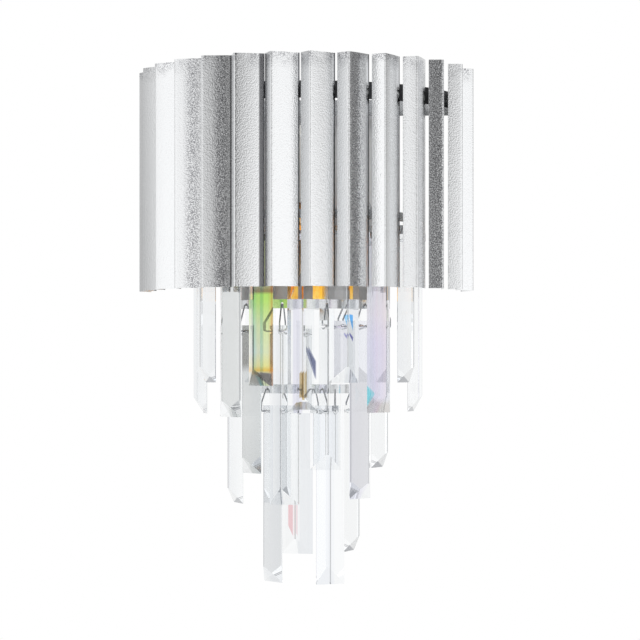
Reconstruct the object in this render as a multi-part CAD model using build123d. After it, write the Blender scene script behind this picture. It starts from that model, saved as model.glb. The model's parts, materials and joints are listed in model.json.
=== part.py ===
from build123d import *
import os
from math import atan2, cos, degrees, radians, sin, sqrt

# Crystal wall sconce. Millimetres, +Z up, +X to the right, the wall is the plane Y = 0 and the
# light faces -Y. The origin is the middle of the wall fixing. Angles round the half drum are
# counted from its front, positive towards +X.

# Overall layout
plate_depth = 11.0          # the hollow wall plate stands this far off the wall
strut_side = 6.0            # square hanger struts on the plate's face
strip_thickness = 1.5       # every flat strip of the frame
strip_height = 6.0          # the holed half rings
running_gap = 0.25          # between pieces that only lie near each other
seat_gap = 0.15             # between a hanging wire and the edge that it rests on

# Slats: folded angle strips, one short and one long leg
slat_count = 14
slat_pitch = 12.38          # degrees
slat_first_angle = -83.5    # degrees, the first fold
slat_fold_radius = 116.3
slat_short_leg = 10.0
slat_long_leg = 20.0
slat_short_lean = 55.0      # degrees between the short leg and the drum's tangent
slat_thickness = 0.8
slat_fold_round = 0.9
slat_top = 91.0
slat_length = 150.0

# Band and bar that carry the slats
band_top = 73.4
band_height = 11.0
stud_radius = 1.5
stud_clearance = 0.2
nut_thread_clearance = 0.05
stud_offset = 8.0           # along the tangent, from the fold
stud_end = 4.5              # past the band's inner face
nut_across_flats = 5.5
nut_thickness = 2.4

# Half rings that carry the crystals
upper_ring_radius = 75.75
middle_ring_radius = 52.75
lower_ring_radius = 33.75
upper_ring_bottom = -13.0
middle_ring_bottom = -71.5
lower_ring_bottom = -128.5
lower_ring_forward = 6.0    # the lower ring stands this far in front of the drum's axis
ring_hole_radius = 1.0
strut_spacing = 22.0

# Crystals: three-sided bars with a slanting lower end, hung by wire loops
crystal_width = 22.0
crystal_depth = 8.5
crystal_long = 120.0
crystal_short = 100.0
crystal_slant = 11.5        # how much higher the front edge ends than the back face
crystal_corner = 0.7        # ground flat along each long edge, across its width
crystal_hole_margin = 4.0   # from the crystal's top to the middle of its hole
crystal_hole_neck = 0.8
crystal_hole_mouth = 2.1
wire_radius = 0.5
wire_bend = 0.9
hook_drop = 15.0            # from the ring's hole to the crystal's hole
rear_hook_drop = 10.5
hook_leg_gap = 1.0          # between the crystal and the loop's legs
hook_shoulder_gap = 1.5     # the loop narrows this far above the crystal
hook_top_half = 2.0

upper_count = 9
upper_pitch = 22.0
middle_count = 6
middle_pitch = 33.0
lower_pitch = 44.0
lower_first_angle = -54.5
lower_count = 4
lower_turned = 3            # this one hangs with its flat face outwards
rear_spacing = 66.0

# How single crystals differ from their even places: degrees further round the ring, degrees
# turned on their own loop, and how much longer the loop is
crystal_shift = {"upper_4": -2.0, "upper_8": 2.0, "middle_1": 2.5, "lower_1": 3.5, "lower_3": -6.5}
crystal_turn = {"upper_1": 10.0, "upper_4": -13.0, "upper_9": -10.0, "middle_1": 12.0,
                "middle_6": -14.0, "lower_4": -7.0}
longer_loop = {"upper_1": 1.5, "upper_3": 3.0, "upper_4": 2.0, "middle_1": 4.5, "middle_2": 3.0,
               "middle_3": 3.3}

# Wall plate and its fixing
plate_width = 105.0
plate_height = 130.0
plate_wall = 1.2
bracket_width = 94.0
bracket_height = 22.0
bracket_thickness = 1.5
fixing_spacing = 60.0
fixing_slot_length = 10.0
fixing_slot_radius = 2.25
cable_hole_radius = 5.0
bracket_stud_spacing = 80.0
bracket_stud_radius = 2.0
bracket_stud_clearance = 0.25
cap_nut_across_flats = 7.0
cap_nut_base = 3.2
cap_nut_dome = 3.2
stud_head_radius = 3.6
stud_head_height = 1.4

# Lamp-holder, its arm and the lamp
arm_width = 15.0
arm_top = 45.5
arm_flange = 22.0
holder_forward = 34.0       # from the plate's face to the lamp-holder's axis
arm_tip = 11.0              # past the lamp-holder's axis
nipple_radius = 5.0
nipple_clearance = 0.1
nipple_bore = 3.4
nipple_length = 9.0
nipple_bore_depth = 7.0
holder_radius = 13.5
holder_length = 44.0
holder_bore_depth = 30.0
holder_collar_radius = 14.6
holder_collar_height = 4.0
lamp_cap_radius = 7.0
lamp_cap_length = 29.0
lamp_cap_clearance = 0.2
lamp_glass_radius = 17.5
lamp_glass_length = 75.0
lamp_glass_belly = 27.0     # from the glass's neck down to its widest place
lamp_glass_wall = 0.8
lamp_neck_reach = 7.0       # how far the neck runs before it swells, and how much it has opened
lamp_neck_opening = 1.0
lamp_shoulder_reach = 11.0  # how far the widest place is felt upwards and downwards
lamp_belly_reach = 22.0
lamp_tip_reach = 16.0       # the taper towards the tip
lamp_tip_opening = 4.0
lamp_tip_rise = 1.0
lamp_tip_radius = 2.0

# Wiring inside the plate
terminal_width = 20.0
terminal_height = 16.0
terminal_depth = 8.0
terminal_z = 24.0
lead_radius = 0.9
lead_spacing = 3.6
lead_hole_radius = 4.0
lead_hole_above_arm = 9.5
lead_rise = 1.8             # the leads run this far above the middle of their hole
lead_bend = 4.5
earth_x = 34.0
earth_z = 40.0
earth_shank_radius = 2.0
earth_head_radius = 3.6
earth_head_height = 2.0

# Places worked out from the sizes above
ring_radius = {1: upper_ring_radius, 2: middle_ring_radius, 3: lower_ring_radius}
ring_bottom = {1: upper_ring_bottom, 2: middle_ring_bottom, 3: lower_ring_bottom}
ring_forward = {1: 0.0, 2: 0.0, 3: lower_ring_forward}
tier_names = {1: "upper", 2: "middle", 3: "lower"}
lead_hole_z = arm_top + lead_hole_above_arm
plate_front = -plate_depth
strut_front = plate_front - strut_side
axis_y = strut_front - strip_thickness
short_lean = radians(slat_short_lean)
short_dir = Vector(-cos(short_lean), sin(short_lean))
long_dir = Vector(sin(short_lean), cos(short_lean))
slat_inner_tip = Vector(0, -slat_fold_radius) + long_dir * slat_long_leg + short_dir * slat_thickness
band_radius = slat_inner_tip.length - running_gap
band_bottom = band_top - band_height
ring_hole_rest = ring_hole_radius - wire_radius - seat_gap
crystal_hole_rest = crystal_hole_neck - wire_radius - seat_gap
ring_bar_top = ring_bottom[1]
rear_hole_z = ring_bar_top - strip_height / 2
rear_y = strut_front - strip_thickness / 2
holder_y = plate_front - holder_forward
holder_top = arm_top - strip_thickness
holder_bottom = holder_top - holder_length

PARTS = {}


def add(name, *solids):
    """Keep the solids of one named piece, or of one group of like pieces."""
    PARTS[name] = list(solids)


def around(shape, angle, forward=0.0):
    """Turn a shape made at the drum's front to an angle round the drum's axis."""
    return Pos(0, axis_y - forward, 0) * Rot(0, 0, angle) * shape


def block(x_low, x_high, y_low, y_high, z_low, z_high):
    """A box from its lowest and highest corners."""
    box = Box(x_high - x_low, y_high - y_low, z_high - z_low, align=(Align.MIN,) * 3)
    return Pos(x_low, y_low, z_low) * box


def rod_y(radius, y_from, y_to, x=0.0, z=0.0):
    """A round rod along Y."""
    rod = Cylinder(radius, abs(y_to - y_from))
    return Pos(x, (y_from + y_to) / 2, z) * Rot(90, 0, 0) * rod


def rod_z(radius, z_from, z_to, x=0.0, y=0.0):
    """A round rod along Z."""
    rod = Cylinder(radius, abs(z_to - z_from))
    return Pos(x, y, (z_from + z_to) / 2) * rod


def hex_y(across_flats, y_from, y_to, x=0.0, z=0.0):
    """A hexagonal prism along Y."""
    outline = RegularPolygon(across_flats / 2, 6, major_radius=False)
    prism = extrude(outline, abs(y_to - y_from))
    return Pos(x, max(y_from, y_to), z) * Rot(90, 0, 0) * prism


def half_ring(radius, bottom, height):
    """A flat strip bent to a half circle, its open side towards the wall, about the Z axis."""
    outline = Circle(radius) - Circle(radius - strip_thickness)
    ring = Pos(0, 0, bottom) * extrude(outline, height)
    return ring & block(-radius - 1, radius + 1, -radius - 1, 0, bottom - 1, bottom + height + 1)


# ---- slats, and the studs that hold them on their band

def slat():
    """One folded strip at the drum's front: the fold points outwards."""
    fold = Vector(0, -slat_fold_radius)
    corners = [
        fold,
        fold + short_dir * slat_short_leg,
        fold + short_dir * slat_short_leg + long_dir * slat_thickness,
        fold + short_dir * slat_thickness + long_dir * slat_thickness,
        fold + long_dir * slat_long_leg + short_dir * slat_thickness,
        fold + long_dir * slat_long_leg,
    ]
    outline = make_face(Polyline(*[(c.X, c.Y) for c in corners], close=True))
    fold_corner = outline.vertices().sort_by_distance(Vertex(fold.X, fold.Y, 0))[0]
    outline = fillet(fold_corner, slat_fold_round)
    return Pos(0, 0, slat_top - slat_length) * extrude(outline, slat_length)


def slat_inner_face():
    """The plane of the long leg's inner side, facing outwards."""
    on_face = Vector(0, -slat_fold_radius) + short_dir * slat_thickness
    return Plane(origin=on_face, x_dir=(0, 0, 1), z_dir=-short_dir)


def stud_angle():
    """Angle from a slat's fold to its stud."""
    inner = slat_inner_face().origin
    depth = (stud_offset - inner.X) * long_dir.Y / long_dir.X
    return degrees(atan2(stud_offset, -(inner.Y + depth)))


def slat_stud(angle):
    """A stud on the long leg's inner side, through the band."""
    inner_end = band_radius - strip_thickness - stud_end
    rod = rod_y(stud_radius, -inner_end, -slat_fold_radius, z=(band_top + band_bottom) / 2)
    rod = Rot(0, 0, angle) * rod
    return split(rod, bisect_by=slat_inner_face(), keep=Keep.BOTTOM)


def band_nut(angle):
    """The nut on a stud, against the band's inner side."""
    half = nut_across_flats / 2
    seat = sqrt((band_radius - strip_thickness) ** 2 - half**2) - seat_gap / 2
    z = (band_top + band_bottom) / 2
    nut = hex_y(nut_across_flats, -seat + nut_thickness, -seat, z=z)
    nut -= rod_y(stud_radius + nut_thread_clearance, -seat + nut_thickness + 1, -seat - 1, z=z)
    return Rot(0, 0, angle) * nut


def build_drum():
    """Slats, studs, nuts, the half-round band and the straight bar behind it."""
    offset = stud_angle()
    angles = [slat_first_angle + slat_pitch * i for i in range(slat_count)]
    one_slat = slat()
    for number, angle in enumerate(angles, start=1):
        add(f"slat_{number:02d}", around(one_slat, angle))
    add("slat_studs", *[around(slat_stud(offset), a) for a in angles])
    add("slat_nuts", *[around(band_nut(offset), a) for a in angles])

    band = half_ring(band_radius, band_bottom, band_height)
    for angle in angles:
        hole = rod_y(stud_radius + stud_clearance, -band_radius - 2, -band_radius + 5)
        band -= Rot(0, 0, angle + offset) * Pos(0, 0, (band_top + band_bottom) / 2) * hole
    add("slat_band", around(band, 0))
    bar = block(-band_radius, band_radius, axis_y, strut_front, band_bottom, band_top)
    add("slat_back_bar", bar)


# ---- half rings, struts and bars that carry the crystals

def ring_angles():
    """The hole angles of each half ring."""
    upper = [(i - (upper_count - 1) / 2) * upper_pitch for i in range(upper_count)]
    middle = [(i - (middle_count - 1) / 2) * middle_pitch for i in range(middle_count)]
    lower = [lower_first_angle + i * lower_pitch for i in range(lower_count)]
    even = {1: upper, 2: middle, 3: lower}
    angles = {}
    for tier, row in even.items():
        names = [f"{tier_names[tier]}_{number}" for number in range(1, len(row) + 1)]
        angles[tier] = [angle + crystal_shift.get(name, 0.0) for name, angle in zip(names, row)]
    return angles


def ring(tier):
    """A half ring with its hook holes, about the drum's axis."""
    bottom = ring_bottom[tier]
    body = half_ring(ring_radius[tier], bottom, strip_height)
    for angle in ring_angles()[tier]:
        hole = rod_y(ring_hole_radius, -ring_radius[tier] - 1, -ring_radius[tier] + 3)
        body -= Rot(0, 0, angle) * Pos(0, 0, bottom + strip_height / 2) * hole
    return body


def ring_arms(tier):
    """Two straight strips from the struts forward to a half ring."""
    middle = ring_radius[tier] - strip_thickness / 2
    reach = sqrt(middle**2 - (strut_spacing / 2) ** 2)
    low = axis_y - ring_forward[tier] - reach
    arms = []
    for side in (-1, 1):
        x = side * strut_spacing / 2
        bottom = ring_bottom[tier]
        half = strip_thickness / 2
        arms.append(block(x - half, x + half, low, strut_front, bottom, bottom + strip_height))
    return arms


def build_frame():
    """The struts, the three half rings and the bar behind the upper one."""
    bottom = ring_bottom[3]
    half = strut_side / 2
    for name, side in (("strut_left", -1), ("strut_right", 1)):
        x = side * strut_spacing / 2
        strut = block(x - half, x + half, strut_front, plate_front, bottom, band_top)
        add(name, strut)

    upper = around(ring(1), 0)
    for side in (-1, 1):
        outer = side * ring_radius[1]
        inner = side * (ring_radius[1] - strip_thickness)
        low, high = min(outer, inner), max(outer, inner)
        upper += block(low, high, axis_y, strut_front, ring_bottom[1], ring_bottom[1] + strip_height)
    add("ring_upper", upper)

    bar = block(-ring_radius[1], ring_radius[1], axis_y, strut_front, ring_bar_top - strip_height, ring_bar_top)
    for side in (-1, 1):
        bar -= rod_y(ring_hole_radius, axis_y - 1, strut_front + 1, side * rear_spacing / 2, rear_hole_z)
    add("ring_upper_bar", bar)

    for name, tier in (("ring_middle", 2), ("ring_lower", 3)):
        body = around(ring(tier), 0, ring_forward[tier])
        for arm in ring_arms(tier):
            body += arm
        add(name, body)


# ---- crystals and their wire loops

def crystal(length):
    """One crystal, hung at the origin, its ridge towards -Y."""
    half_width = crystal_width / 2
    half_depth = crystal_depth / 2
    ridge = Vector(0, -half_depth)
    right = Vector(half_width, half_depth)
    along = (ridge - right).normalized()
    cut = crystal_corner
    corners = [
        (half_width - cut, half_depth),
        (right.X + along.X * cut, right.Y + along.Y * cut),
        (ridge.X - along.X * cut, ridge.Y - along.Y * cut),
        (ridge.X + along.X * cut, ridge.Y - along.Y * cut),
        (-right.X - along.X * cut, right.Y + along.Y * cut),
        (-half_width + cut, half_depth),
    ]
    top = crystal_hole_margin - crystal_hole_rest
    bottom = top - length
    bar = Pos(0, 0, bottom) * extrude(make_face(Polyline(*corners, close=True)), length)
    side = make_face(
        Polyline(
            (half_depth, bottom),
            (half_depth + 1, bottom),
            (half_depth + 1, top + 1),
            (-half_depth - 1, top + 1),
            (-half_depth - 1, bottom + crystal_slant * (1 + 1 / crystal_depth)),
            close=True,
        )
    )
    keep = extrude(Plane.YZ * side, half_width + 1, both=True)
    bar &= keep
    for turn in (90, -90):
        flare = Cone(
            crystal_hole_neck,
            crystal_hole_mouth,
            half_depth,
            align=(Align.CENTER, Align.CENTER, Align.MIN),
        )
        bar -= Pos(0, 0, -crystal_hole_rest) * Rot(turn, 0, 0) * flare
    return bar


def hook(drop):
    """A closed wire loop from a ring's hole, at the origin, down through a crystal's hole."""
    low = -drop
    shoulder = low + crystal_hole_margin + hook_shoulder_gap
    leg = crystal_depth / 2 + hook_leg_gap + wire_radius
    high = -ring_hole_rest
    path = FilletPolyline(
        (0, hook_top_half, high),
        (0, leg, shoulder),
        (0, leg, low),
        (0, -leg, low),
        (0, -leg, shoulder),
        (0, -hook_top_half, high),
        radius=wire_bend,
        close=True,
    )
    start = path @ 0
    section = Plane(origin=start, z_dir=path % 0) * Circle(wire_radius)
    return sweep(section, path=path)


def build_crystals():
    """Every crystal as a piece of its own, and the hooks of each row as one group."""
    bars = {length: crystal(length) for length in (crystal_long, crystal_short)}
    for tier, angles in ring_angles().items():
        hole_z = ring_bottom[tier] + strip_height / 2
        centre = -(ring_radius[tier] - strip_thickness / 2)
        hooks = []
        for number, angle in enumerate(angles, start=1):
            name = f"{tier_names[tier]}_{number}"
            length = crystal_long if number % 2 else crystal_short
            drop = hook_drop + longer_loop.get(name, 0.0)
            place = Pos(0, centre, hole_z) * Rot(0, 0, crystal_turn.get(name, 0.0))
            bar = bars[length]
            if tier == 3 and number == lower_turned:
                bar = Rot(0, 0, 180) * bar
            hung = place * Pos(0, 0, -drop) * bar
            add(f"crystal_{name}", around(hung, angle, ring_forward[tier]))
            hooks.append(around(place * hook(drop), angle, ring_forward[tier]))
        if tier == 1:
            rear_hook = hook(rear_hook_drop)
            for name, side in (("crystal_rear_left", -1), ("crystal_rear_right", 1)):
                x = side * rear_spacing / 2
                add(name, Pos(x, rear_y, rear_hole_z - rear_hook_drop) * bars[crystal_long])
                hooks.append(Pos(x, rear_y, rear_hole_z) * rear_hook)
        add(f"hooks_{tier_names[tier]}", *hooks)


# ---- wall plate and wall fixing

def build_wall_parts():
    """The hollow plate, the bracket behind it, its two studs with cap nuts, the earth screw."""
    half_w, half_h = plate_width / 2, plate_height / 2
    shell = block(-half_w, half_w, plate_front, 0, -half_h, half_h)
    inner_w, inner_h = half_w - plate_wall, half_h - plate_wall
    shell -= block(-inner_w, inner_w, plate_front + plate_wall, 1, -inner_h, inner_h)
    for side in (-1, 1):
        x = side * bracket_stud_spacing / 2
        shell -= rod_y(bracket_stud_radius + bracket_stud_clearance, plate_front - 1, plate_front + 3, x)
    shell -= rod_y(lead_hole_radius, plate_front - 1, plate_front + 3, 0, lead_hole_z)
    shell -= rod_y(earth_shank_radius, plate_front - 1, plate_front + 3, earth_x, earth_z)
    add("wall_plate", shell)

    half_w, half_h = bracket_width / 2, bracket_height / 2
    bracket = block(-half_w, half_w, -bracket_thickness, 0, -half_h, half_h)
    slot = SlotOverall(fixing_slot_length, 2 * fixing_slot_radius)
    for side in (-1, 1):
        cut = Pos(side * fixing_spacing / 2, 1, 0) * Rot(90, 0, 0) * extrude(slot, bracket_thickness + 2)
        bracket -= cut
        x = side * bracket_stud_spacing / 2
        bracket -= rod_y(bracket_stud_radius, -bracket_thickness - 1, 1, x)
    bracket -= rod_y(cable_hole_radius, -bracket_thickness - 1, 1)
    add("wall_bracket", bracket)

    studs, nuts = [], []
    for side in (-1, 1):
        x = side * bracket_stud_spacing / 2
        stud = rod_y(bracket_stud_radius, plate_front - cap_nut_base, 0, x)
        stud += rod_y(stud_head_radius, -bracket_thickness - stud_head_height, -bracket_thickness, x)
        studs.append(stud)
        base = hex_y(cap_nut_across_flats, plate_front - cap_nut_base, plate_front, x)
        dome_low = plate_front - cap_nut_base
        dome = Pos(x, dome_low, 0) * Sphere(cap_nut_dome)
        dome &= rod_y(2 * cap_nut_dome, dome_low, dome_low - cap_nut_dome - 1, x)
        nuts.append(base + dome - rod_y(bracket_stud_radius, plate_front - cap_nut_base, 1, x))
    add("bracket_studs", *studs)
    add("cap_nuts", *nuts)

    earth = rod_y(earth_shank_radius, plate_front - 2, plate_front + plate_wall, earth_x, earth_z)
    head_low = plate_front + plate_wall
    earth += rod_y(earth_head_radius, head_low, head_low + earth_head_height, earth_x, earth_z)
    add("earth_screw", earth)


# ---- lamp-holder, arm, lamp and wiring

def build_lamp():
    """The arm on the plate, the lamp-holder hanging from it and the candle lamp."""
    half = arm_width / 2
    arm = block(-half, half, plate_front - strip_thickness, plate_front, arm_top - arm_flange, arm_top)
    arm += block(-half, half, holder_y - arm_tip, plate_front, holder_top, arm_top)
    arm -= rod_z(nipple_radius + nipple_clearance, holder_top - 1, arm_top + 1, 0, holder_y)
    add("holder_arm", arm)

    holder = rod_z(holder_radius, holder_bottom, holder_top, 0, holder_y)
    holder += rod_z(holder_collar_radius, holder_bottom, holder_bottom + holder_collar_height, 0, holder_y)
    holder += rod_z(nipple_radius, holder_top, holder_top + nipple_length, 0, holder_y)
    bore = lamp_cap_radius + lamp_cap_clearance
    holder -= rod_z(bore, holder_bottom - 1, holder_bottom + holder_bore_depth, 0, holder_y)
    nipple_top = holder_top + nipple_length
    holder -= rod_z(nipple_bore, nipple_top - nipple_bore_depth, nipple_top + 1, 0, holder_y)
    add("lamp_holder", holder)

    cap_top = holder_bottom + holder_bore_depth - seat_gap
    cap_bottom = cap_top - lamp_cap_length
    add("lamp_cap", rod_z(lamp_cap_radius, cap_bottom, cap_top, 0, holder_y))
    add("lamp_glass", Pos(0, holder_y, cap_bottom) * lamp_glass())


def candle_outline(wall):
    """Half of the candle glass's outline in the XZ plane, inset by a wall; the neck is at z = 0."""
    neck = lamp_cap_radius - wall
    belly = lamp_glass_radius - wall
    tip = lamp_glass_length - wall
    lower = Bezier(
        (belly, 0, -lamp_glass_belly),
        (belly, 0, -lamp_glass_belly - lamp_belly_reach),
        (lamp_tip_radius + lamp_tip_opening, 0, -tip + lamp_tip_reach),
        (lamp_tip_radius - wall / 2, 0, -tip + lamp_tip_rise),
    )
    upper = Bezier(
        (neck, 0, 0),
        (neck + lamp_neck_opening, 0, -lamp_neck_reach),
        (belly, 0, -lamp_glass_belly + lamp_shoulder_reach),
        (belly, 0, -lamp_glass_belly),
    )
    end = Line(lower @ 1, (0, 0, -tip))
    axis = Line((0, 0, -tip), (0, 0, 0))
    top = Line((0, 0, 0), (neck, 0, 0))
    return make_face([upper, lower, end, axis, top])


def lamp_glass():
    """The hollow candle glass, open at its neck, hanging tip down."""
    outer = revolve(candle_outline(0.0), Axis.Z, 360)
    inner = revolve(candle_outline(lamp_glass_wall), Axis.Z, 360)
    return outer - inner


def build_wiring():
    """The terminal block behind the plate and the two leads to the lamp-holder."""
    inside = plate_front + plate_wall
    half = terminal_width / 2
    block_low = terminal_z - terminal_height / 2
    block_high = terminal_z + terminal_height / 2
    add("terminal_block", block(-half, half, inside, inside + terminal_depth, block_low, block_high))

    lead_y = inside + lead_bend
    nipple_floor = holder_top + nipple_length - nipple_bore_depth
    for name, side in (("lead_live", -1), ("lead_neutral", 1)):
        x = side * lead_spacing / 2
        path = FilletPolyline(
            (x, lead_y, block_high),
            (x, lead_y, lead_hole_z + lead_rise),
            (x, holder_y, lead_hole_z + lead_rise),
            (x, holder_y, nipple_floor),
            radius=lead_bend,
        )
        section = Plane(origin=path @ 0, z_dir=path % 0) * Circle(lead_radius)
        add(name, sweep(section, path=path))


def main():
    """Make every piece and write one STEP file for each."""
    build_drum()
    build_frame()
    build_crystals()
    build_wall_parts()
    build_lamp()
    build_wiring()
    os.makedirs("parts", exist_ok=True)
    for name, solids in PARTS.items():
        shape = solids[0] if len(solids) == 1 else Compound(children=list(solids))
        shape.label = name
        export_step(shape, f"parts/{name}.step")


main()
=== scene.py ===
"""Crystal wall sconce: the looks of its slats, crystals, frame, wall parts, lamp and stage."""

import json
import math

import bmesh
import bpy
from bpy.props import FloatProperty, FloatVectorProperty, IntProperty, PointerProperty
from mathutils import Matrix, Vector


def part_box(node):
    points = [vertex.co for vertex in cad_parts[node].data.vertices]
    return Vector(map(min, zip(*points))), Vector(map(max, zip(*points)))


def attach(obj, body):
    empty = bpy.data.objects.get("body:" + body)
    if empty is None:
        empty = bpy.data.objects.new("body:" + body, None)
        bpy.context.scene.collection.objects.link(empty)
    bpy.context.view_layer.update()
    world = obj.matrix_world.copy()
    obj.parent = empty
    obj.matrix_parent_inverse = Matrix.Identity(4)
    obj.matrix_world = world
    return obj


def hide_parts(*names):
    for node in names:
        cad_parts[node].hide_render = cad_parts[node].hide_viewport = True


bl_info = {
    "name": "Crystal wall sconce",
    "version": (1, 0, 0),
    "blender": (4, 5, 0),
    "location": "View3D > Sidebar > Sconce",
    "description": "Builds the looks of a half-drum wall light with hanging crystals",
    "category": "Object",
}

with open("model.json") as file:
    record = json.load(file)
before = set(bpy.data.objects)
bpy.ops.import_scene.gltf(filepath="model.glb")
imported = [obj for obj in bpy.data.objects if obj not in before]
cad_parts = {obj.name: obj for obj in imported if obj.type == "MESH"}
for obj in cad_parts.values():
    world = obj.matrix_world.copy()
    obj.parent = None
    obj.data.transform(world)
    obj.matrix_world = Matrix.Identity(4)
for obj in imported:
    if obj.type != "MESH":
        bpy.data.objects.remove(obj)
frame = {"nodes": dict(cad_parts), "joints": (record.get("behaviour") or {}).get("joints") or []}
MM = 0.001
# the drum's axis, in front of the wall
AXIS_Y = -18.5 * MM
WHITE = (1, 1, 1, 1)
BLACK = (0, 0, 0, 1)


# ---- sizes and colours

def length(name, description, default):
    """A size in metres."""
    return FloatProperty(name=name, description=description, default=default, unit="LENGTH", precision=5)


def angle(name, description, degrees):
    """An angle, given in degrees."""
    return FloatProperty(name=name, description=description, default=math.radians(degrees), unit="ROTATION")


def colour(name, description, default):
    """A plain colour."""
    return FloatVectorProperty(
        name=name, description=description, default=default, size=3, subtype="COLOR", min=0.0, max=1.0
    )


class SlatSettings(bpy.types.PropertyGroup):
    """Sizes and finish of the folded slats."""

    count: IntProperty(name="Count", description="How many slats hang round the half drum", default=14)
    pitch: angle("Pitch", "From one slat to the next", 12.38)
    first_angle: angle("First angle", "The first fold, from the drum's front", -83.5)
    lean: angle("Lean", "Between the short leg and the drum's tangent", 55.0)
    fold_radius: length("Fold radius", "From the drum's axis to the folds", 116.3 * MM)
    short_leg: length("Short leg", "Width of the short leg", 10 * MM)
    long_leg: length("Long leg", "Width of the long leg", 20 * MM)
    thickness: length("Thickness", "Thickness of the strip", 0.8 * MM)
    fold_round: length("Fold round", "Outer radius of the fold", 0.9 * MM)
    bow: length("Bow", "How far the middle of the long leg swells outwards", 0.4 * MM)
    top: length("Top", "Height of the slats' upper ends", 91 * MM)
    drop: length("Length", "Length of a slat", 150 * MM)
    tint: colour("Metal", "Colour of the bright metal", (0.87, 0.88, 0.89))
    grain_size: length("Grain", "Size of the metal's grain", 0.85 * MM)
    grain_depth: length("Grain depth", "Depth of the metal's grain", 0.13 * MM)
    roughness: FloatProperty(name="Roughness", description="Blur of the reflections", default=0.13)
    # the dark strip along the sheared edge is painted shade from the gap between slats
    edge_width: length("Edge width", "Width of the dull strip along the sheared edge", 1.3 * MM)
    wave_depth: length("Wave depth", "Depth of the strip's slow waves", 0.04 * MM)
    edge_ease: length("Edge ease", "How far the strip's long edges are eased", 0.12 * MM)
    # the dark specks stand for painted shade along a few stretches of the drum
    specks_and_painted_shade: colour("Tarnish", "Colour of the tarnish specks", (0.15, 0.15, 0.17))
    # this dull colour is painted shade, for the dark gaps between slats
    painted_gap_shade: colour("Dull metal", "Colour of the dull strips", (0.1, 0.1, 0.11))
    turned_slat: IntProperty(name="Turned slat", description="Which slat hangs a little turned", default=11)
    turned_by: angle("Turned by", "How far that slat is turned", 4.0)


class CrystalSettings(bpy.types.PropertyGroup):
    """Finish of the hanging crystals."""

    clear: colour("Clear glass", "Colour of the clear glass", (0.97, 0.98, 0.985))
    # the edge colour is painted shade, for the dark lines along the ground edges
    edge: colour("Edge", "Colour along the ground edges", (0.03, 0.032, 0.036))
    caught: colour("Caught light", "Colour of light that is caught inside", (0.2, 0.205, 0.215))
    index: FloatProperty(name="Index", description="Index of refraction", default=1.46)
    width: length("Width", "Width of a crystal", 22 * MM)
    depth: length("Depth", "Depth of a crystal", 8.5 * MM)


class MetalSettings(bpy.types.PropertyGroup):
    """Finish of the frame, the wires and the wall parts."""

    band: colour("Band", "Dark paint of the half-round band", (0.05, 0.052, 0.056))
    plated: colour("Plated strip", "Colour of the rings, bars and struts", (0.8, 0.81, 0.82))
    wire: colour("Wire", "Colour of the hooks", (0.4, 0.41, 0.43))
    plate: colour("Plate", "Silver paint of the wall plate", (0.8, 0.805, 0.81))
    zinc: colour("Zinc", "Zinc plated steel", (0.62, 0.63, 0.62))
    brass: colour("Brass", "The lamp's cap", (0.72, 0.58, 0.32))


class LampSettings(bpy.types.PropertyGroup):
    """The candle lamp and its holder."""

    amber: colour("Amber glass", "Colour of the lamp's glass", (0.95, 0.68, 0.28))
    moulding: colour("Moulding", "Colour of the lamp-holder", (0.86, 0.85, 0.81))
    stick_count: IntProperty(name="Sticks", description="Upright glowing sticks in the lamp", default=5)
    stick_ring: length("Stick ring", "From the lamp's axis to the sticks", 10.5 * MM)
    stick_width: length("Stick width", "Thickness of a stick", 3.2 * MM)
    first_stick: angle("First stick", "Where the first stick stands, from the lamp's front", -25)
    above_sticks: length("Above the sticks", "From their upper ends to the glass's top", 16 * MM)
    below_sticks: length("Below the sticks", "From the glass's bottom to their lower ends", 9 * MM)
    glow: FloatProperty(name="Glow", description="How strongly the sticks glow", default=0.7)


class WiringSettings(bpy.types.PropertyGroup):
    """Colours of the terminal block and the leads."""

    block: colour("Terminal block", "Colour of the block's moulding", (0.8, 0.8, 0.77))
    live: colour("Live lead", "Colour of the brown sheath", (0.16, 0.07, 0.03))
    neutral: colour("Neutral lead", "Colour of the blue sheath", (0.03, 0.09, 0.35))


class StageSettings(bpy.types.PropertyGroup):
    """Camera, light and floor."""

    camera_distance: length("Camera distance", "From the drum's axis", 1.513)
    camera_azimuth: angle("Camera azimuth", "To the light's right", 2.5)
    camera_height: length("Camera height", "Above the wall fixing", -0.112)
    lens: FloatProperty(name="Lens", description="Focal length in millimetres", default=123.3)
    shift_x: FloatProperty(name="Shift X", description="Sideways framing", default=0.019)
    shift_y: FloatProperty(name="Shift Y", description="Upright framing", default=0.0764)
    floor_height: length("Floor height", "Height of the floor, below the light", -1.2)
    floor_radius: length("Floor radius", "Radius of the round floor", 2.6)
    floor_paint: colour("Floor paint", "Colour of the floor", (0.93, 0.93, 0.93))
    lamp_size: length("Lamp size", "Width of the round lamp above", 1.2)
    lamp_power: FloatProperty(name="Lamp power", description="Strength of that lamp in watts", default=14)
    lamp_place: FloatVectorProperty(
        name="Lamp place", description="Where that lamp hangs", default=(-0.5, -1.0, 1.6), subtype="XYZ"
    )
    lamp_aim: FloatVectorProperty(
        name="Lamp aim", description="What that lamp points at", default=(0, -0.05, 0), subtype="XYZ"
    )


# ---- shapes

def new_piece(name, points, faces, material=None):
    """A mesh object at the origin with its faces outwards, sharp at edges of 35 degrees or more."""
    mesh = bpy.data.meshes.new(name)
    mesh.from_pydata([tuple(p) for p in points], [], faces)
    work = bmesh.new()
    work.from_mesh(mesh)
    bmesh.ops.remove_doubles(work, verts=work.verts, dist=1e-7)
    bmesh.ops.recalc_face_normals(work, faces=work.faces)
    work.to_mesh(mesh)
    work.free()
    mesh.shade_smooth()
    mesh.set_sharp_from_angle(angle=math.radians(35))
    if material:
        mesh.materials.append(material)
    piece = bpy.data.objects.new(name, mesh)
    bpy.context.scene.collection.objects.link(piece)
    return piece


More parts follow.
